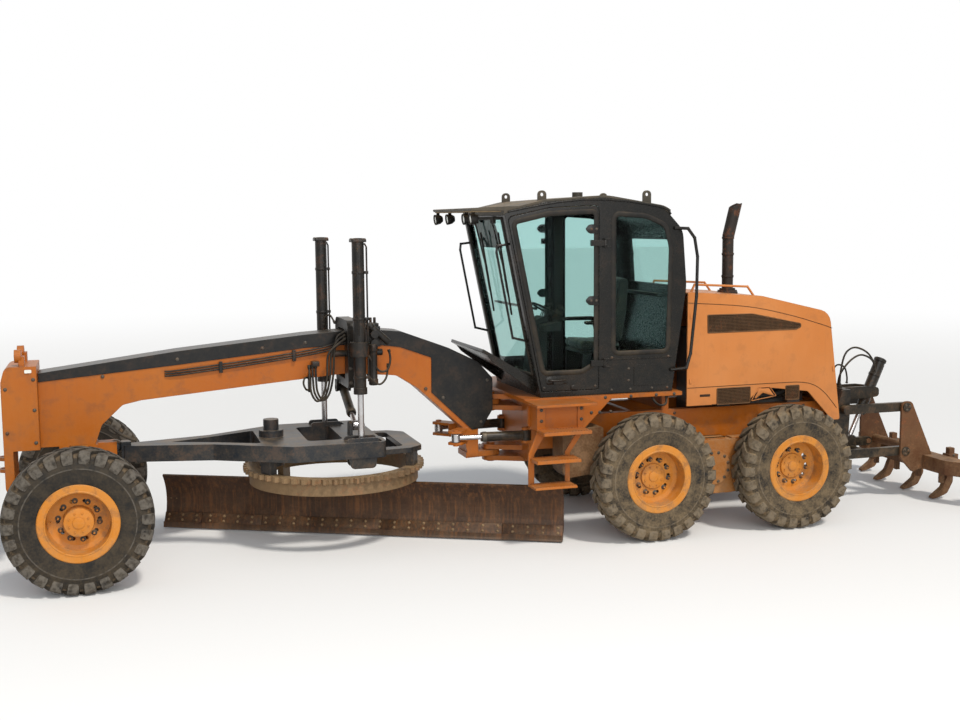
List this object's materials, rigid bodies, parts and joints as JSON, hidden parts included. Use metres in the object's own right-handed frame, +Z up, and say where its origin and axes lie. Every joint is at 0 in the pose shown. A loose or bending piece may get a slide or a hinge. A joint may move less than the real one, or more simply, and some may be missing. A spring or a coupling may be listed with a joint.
{
  "type": "motor grader",
  "caption": "Articulated motor grader with a tandem rear drive, an enclosed cab, a turning circle with a long angled blade, leaning front wheels and a rear ripper.",
  "frame": {"origin": "middle of the machine's length and width, on the ground under the tyres", "axes": "+X forward, +Y to the machine's left, +Z up"},
  "size_m": [10.307, 2.444, 3.47],
  "materials": {
    "frame_paint": "satin, dusty",
    "hood_paint": "satin, faded",
    "tandem_paint": "satin, dusty",
    "tank_paint": "satin, dusty",
    "rim_paint": "satin, dusty",
    "dark_paint": "satin, worn",
    "exhaust_steel": "rusty",
    "drawbar_paint": "satin, worn",
    "circle_steel": "rusty",
    "blade_steel": "rusty, scraped",
    "ripper_steel": "rusty",
    "rod_chrome": "polished",
    "window_glass": "tinted",
    "seat_cover": "satin",
    "console_plastic": "matte",
    "tyre_rubber": "dusty",
    "engine_iron": "oily"
  },
  "bodies": {
    "rear_body": {"rear_frame": "frame_paint", "engine": "engine_iron", "cab_shell": "dark_paint", "cab_roof": "dark_paint", "cab_glass": "window_glass", "seat": "seat_cover", "console": "console_plastic", "fuel_tank": "tank_paint", "ladders": "frame_paint", "hand_rails": "dark_paint", "ripper_mount": "dark_paint"},
    "front_body": {"front_frame": "frame_paint", "frame_cover": "dark_paint", "nose_plate": "frame_paint", "saddle": "dark_paint"},
    "door_left": {"door_left": "dark_paint", "door_glass_left": "window_glass"},
    "door_right": {"door_right": "dark_paint", "door_glass_right": "window_glass"},
    "hood": {"hood": "hood_paint", "exhaust": "exhaust_steel"},
    "tandem_left": {"tandem_left": "tandem_paint"},
    "tandem_right": {"tandem_right": "tandem_paint"},
    "axle": {"front_axle": "frame_paint"},
    "lean_left": {"lean_left": "dark_paint"},
    "lean_right": {"lean_right": "dark_paint"},
    "lean_bar": {"lean_bar": "dark_paint"},
    "knuckle_left": {"knuckle_left": "dark_paint"},
    "knuckle_right": {"knuckle_right": "dark_paint"},
    "drawbar": {"drawbar": "drawbar_paint"},
    "circle": {"circle": "circle_steel"},
    "blade_carrier": {"blade_carrier": "circle_steel"},
    "moldboard": {"moldboard": "blade_steel"},
    "lift_rod_left": {"lift_rod_left": "rod_chrome"},
    "lift_rod_right": {"lift_rod_right": "rod_chrome"},
    "shift_barrel": {"shift_barrel": "dark_paint"},
    "shift_rod": {"shift_rod": "rod_chrome"},
    "swing_barrel_left": {"swing_barrel_left": "dark_paint"},
    "swing_barrel_right": {"swing_barrel_right": "dark_paint"},
    "swing_rod_left": {"swing_rod_left": "rod_chrome"},
    "swing_rod_right": {"swing_rod_right": "rod_chrome"},
    "ripper_lower_link": {"ripper_lower_link": "dark_paint"},
    "ripper_upper_link": {"ripper_upper_link": "dark_paint"},
    "ripper_beam": {"ripper_beam": "ripper_steel"},
    "ripper_barrel": {"ripper_barrel": "dark_paint"},
    "ripper_rod": {"ripper_rod": "rod_chrome"},
    "wheel_mid_left": {"tyre_mid_left": "tyre_rubber", "rim_mid_left": "rim_paint"},
    "wheel_mid_right": {"tyre_mid_right": "tyre_rubber", "rim_mid_right": "rim_paint"},
    "wheel_rear_left": {"tyre_rear_left": "tyre_rubber", "rim_rear_left": "rim_paint"},
    "wheel_rear_right": {"tyre_rear_right": "tyre_rubber", "rim_rear_right": "rim_paint"},
    "wheel_front_left": {"tyre_front_left": "tyre_rubber", "rim_front_left": "rim_paint"},
    "wheel_front_right": {"tyre_front_right": "tyre_rubber", "rim_front_right": "rim_paint"}
  },
  "joints": [
    {"name": "articulation", "type": "hinge", "parent": "rear_body", "child": "front_body", "pos_m": [0.37947, 0, 1], "axis": [0, 0, 1], "range_deg": [-25, 25]},
    {"name": "swing_pivot_left", "type": "hinge", "parent": "rear_body", "child": "swing_barrel_left", "pos_m": [0.12947, 0.4, 1.01], "axis": [0, 0, 1], "range_deg": [-16, 16]},
    {"name": "swing_stroke_left", "type": "slide", "parent": "swing_barrel_left", "child": "swing_rod_left", "axis": [0.9953, -0.0968, 0], "range_m": [-0.17, 0.17]},
    {"name": "swing_pivot_right", "type": "hinge", "parent": "rear_body", "child": "swing_barrel_right", "pos_m": [0.12947, -0.4, 1.01], "axis": [0, 0, 1], "range_deg": [-16, 16]},
    {"name": "swing_stroke_right", "type": "slide", "parent": "swing_barrel_right", "child": "swing_rod_right", "axis": [0.9953, 0.0968, 0], "range_m": [-0.17, 0.17]},
    {"name": "axle_rock", "type": "hinge", "parent": "front_body", "child": "axle", "pos_m": [4.44847, 0, 0.76], "axis": [1, 0, 0], "range_deg": [-15, 15]},
    {"name": "wheel_lean", "type": "hinge", "parent": "axle", "child": "lean_left", "pos_m": [4.44847, 0.76, 0.43], "axis": [-1, 0, 0], "range_deg": [-18, 18]},
    {"name": "wheel_lean_right", "type": "hinge", "parent": "axle", "child": "lean_right", "pos_m": [4.44847, -0.76, 0.43], "axis": [-1, 0, 0], "range_deg": [-18, 18]},
    {"name": "lean_bar_slide", "type": "slide", "parent": "axle", "child": "lean_bar", "axis": [0, 1, 0], "range_m": [-0.13, 0.13]},
    {"name": "steer", "type": "hinge", "parent": "lean_left", "child": "knuckle_left", "pos_m": [4.44847, 0.86, 0.635], "axis": [0, 0, 1], "range_deg": [-45, 45]},
    {"name": "steer_right", "type": "hinge", "parent": "lean_right", "child": "knuckle_right", "pos_m": [4.44847, -0.86, 0.635], "axis": [0, 0, 1], "range_deg": [-45, 45]},
    {"name": "roll_front_left", "type": "hinge", "parent": "knuckle_left", "child": "wheel_front_left", "pos_m": [4.44847, 1.05, 0.635], "axis": [0, 1, 0], "continuous": true},
    {"name": "tandem_rock_left", "type": "hinge", "parent": "rear_body", "child": "tandem_left", "pos_m": [-1.77053, 0.745, 0.635], "axis": [0, 1, 0], "range_deg": [-15, 15]},
    {"name": "roll_mid_left", "type": "hinge", "parent": "tandem_left", "child": "wheel_mid_left", "pos_m": [-0.98453, 1.05, 0.635], "axis": [0, 1, 0], "continuous": true},
    {"name": "roll_rear_left", "type": "hinge", "parent": "tandem_left", "child": "wheel_rear_left", "pos_m": [-2.55653, 1.05, 0.635], "axis": [0, 1, 0], "continuous": true},
    {"name": "door_swing_left", "type": "hinge", "parent": "rear_body", "child": "door_left", "pos_m": [-0.60053, 0.722, 2.3], "axis": [0, 0, 1], "range_deg": [0, 90]},
    {"name": "roll_front_right", "type": "hinge", "parent": "knuckle_right", "child": "wheel_front_right", "pos_m": [4.44847, -1.05, 0.635], "axis": [0, 1, 0], "continuous": true},
    {"name": "tandem_rock_right", "type": "hinge", "parent": "rear_body", "child": "tandem_right", "pos_m": [-1.77053, -0.745, 0.635], "axis": [0, 1, 0], "range_deg": [-15, 15]},
    {"name": "roll_mid_right", "type": "hinge", "parent": "tandem_right", "child": "wheel_mid_right", "pos_m": [-0.98453, -1.05, 0.635], "axis": [0, 1, 0], "continuous": true},
    {"name": "roll_rear_right", "type": "hinge", "parent": "tandem_right", "child": "wheel_rear_right", "pos_m": [-2.55653, -1.05, 0.635], "axis": [0, 1, 0], "continuous": true},
    {"name": "door_swing_right", "type": "hinge", "parent": "rear_body", "child": "door_right", "pos_m": [-0.60053, -0.722, 2.3], "axis": [0, 0, -1], "range_deg": [0, 90]},
    {"name": "hood_lift", "type": "hinge", "parent": "rear_body", "child": "hood", "pos_m": [-3.36553, 0, 1], "axis": [0, -1, 0], "range_deg": [0, 35]},
    {"name": "drawbar_lift", "type": "hinge", "parent": "front_body", "child": "drawbar", "pos_m": [4.11847, 0, 1.08], "axis": [0, 1, 0], "range_deg": [-11, 7]},
    {"name": "lift_stroke_left", "type": "slide", "parent": "front_body", "child": "lift_rod_left", "axis": [0, 0, 1], "range_m": [-0.44, 0.28]},
    {"name": "lift_stroke_right", "type": "slide", "parent": "front_body", "child": "lift_rod_right", "axis": [0, 0, 1], "range_m": [-0.41, 0.26]},
    {"name": "shift_pivot", "type": "hinge", "parent": "front_body", "child": "shift_barrel", "pos_m": [1.86947, -0.3, 1.5], "axis": [1, 0, 0], "range_deg": [-28, 18]},
    {"name": "shift_stroke", "type": "slide", "parent": "shift_barrel", "child": "shift_rod", "axis": [0, 0.9029, -0.4299], "range_m": [-0.14, 0.22]},
    {"name": "circle_turn", "type": "hinge", "parent": "drawbar", "child": "circle", "pos_m": [2.02947, 0, 0.74], "axis": [0, 0, 1], "range_deg": [-105, 159]},
    {"name": "blade_pitch", "type": "hinge", "parent": "circle", "child": "blade_carrier", "pos_m": [1.87284, -0.3074, 0.2], "axis": [-0.891, 0.454, 0], "range_deg": [-10, 30]},
    {"name": "blade_side_shift", "type": "slide", "parent": "blade_carrier", "child": "moldboard", "axis": [0.891, -0.454, 0], "range_m": [-0.25, 0.05]},
    {"name": "ripper_lift", "type": "hinge", "parent": "rear_body", "child": "ripper_lower_link", "pos_m": [-3.67053, 0, 0.545], "axis": [0, 1, 0], "range_deg": [-12, 35]},
    {"name": "ripper_upper_swing", "type": "hinge", "parent": "rear_body", "child": "ripper_upper_link", "pos_m": [-3.67053, 0, 1.05], "axis": [0, 1, 0], "range_deg": [-12, 35]},
    {"name": "ripper_beam_level", "type": "hinge", "parent": "ripper_lower_link", "child": "ripper_beam", "pos_m": [-4.43053, 0, 0.545], "axis": [0, 1, 0], "range_deg": [-35, 12]},
    {"name": "ripper_pivot", "type": "hinge", "parent": "rear_body", "child": "ripper_barrel", "pos_m": [-4.19053, 0, 1.2], "axis": [0, 1, 0], "range_deg": [-16, 6]},
    {"name": "ripper_stroke", "type": "slide", "parent": "ripper_barrel", "child": "ripper_rod", "axis": [0.4061, 0, -0.9138], "range_m": [-0.085, 0.03]}
  ],
  "couplings": [
    {"joint": "swing_pivot_left", "follows": "articulation", "ratio": 0.6},
    {"joint": "swing_stroke_left", "follows": "articulation", "m_per_rad": -0.37},
    {"joint": "swing_pivot_right", "follows": "articulation", "ratio": 0.6},
    {"joint": "swing_stroke_right", "follows": "articulation", "m_per_rad": 0.37},
    {"joint": "wheel_lean_right", "follows": "wheel_lean", "ratio": 1},
    {"joint": "lean_bar_slide", "follows": "wheel_lean", "m_per_rad": 0.366},
    {"joint": "steer_right", "follows": "steer", "ratio": 1},
    {"joint": "lift_stroke_left", "follows": "drawbar_lift", "m_per_rad": 2.245},
    {"joint": "lift_stroke_right", "follows": "drawbar_lift", "m_per_rad": 2.07},
    {"joint": "shift_pivot", "follows": "drawbar_lift", "ratio": 2.5},
    {"joint": "shift_stroke", "follows": "drawbar_lift", "m_per_rad": -1.075},
    {"joint": "ripper_upper_swing", "follows": "ripper_lift", "ratio": 1},
    {"joint": "ripper_beam_level", "follows": "ripper_lift", "ratio": -1},
    {"joint": "ripper_pivot", "follows": "ripper_lift", "ratio": -0.44},
    {"joint": "ripper_stroke", "follows": "ripper_lift", "m_per_rad": -0.13}
  ]
}
